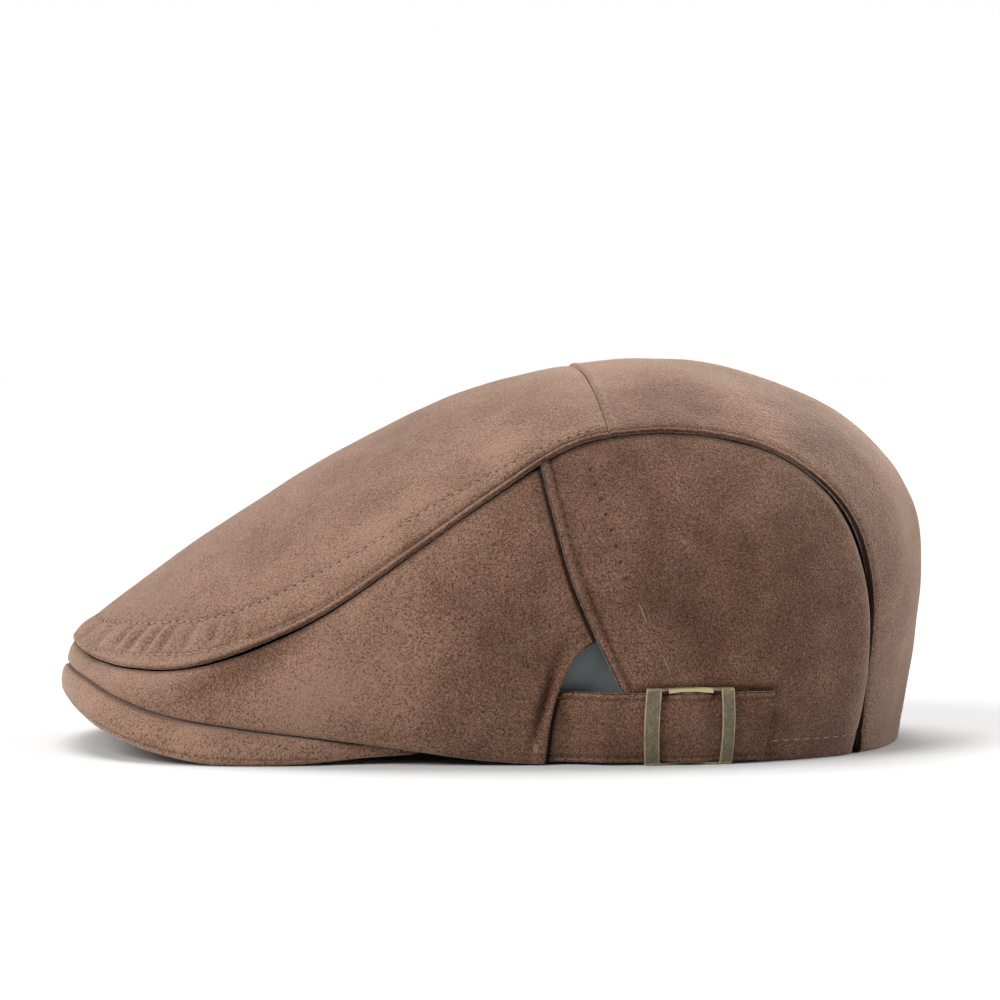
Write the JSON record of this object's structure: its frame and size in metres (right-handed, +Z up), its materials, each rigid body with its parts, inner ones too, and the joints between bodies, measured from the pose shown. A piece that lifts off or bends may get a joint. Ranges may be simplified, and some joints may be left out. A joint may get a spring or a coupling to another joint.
{
  "type": "flat cap",
  "caption": "Soft suede flat cap with a stiff curved peak, a crown sewn from shaped panels, a grey lining, and a strap with a metal buckle on its left side.",
  "frame": {"origin": "centre of the cap's box, on the surface that the rim stands on", "axes": "+X to the back of the cap, so the peak points along -X; +Y to the wearer's right; +Z up"},
  "size_m": [0.2757, 0.1858, 0.1217],
  "materials": {
    "suede": "matte brushed nap",
    "lining": "smooth satin",
    "brass": "antique, worn edges"
  },
  "bodies": {
    "root": {"crown_front": "suede", "crown_back": "suede", "band_front": "suede", "side_rear_left": "suede", "side_rear_right": "suede", "peak": "suede", "lining": "lining", "strap": "suede", "buckle": "brass"}
  },
  "joints": []
}
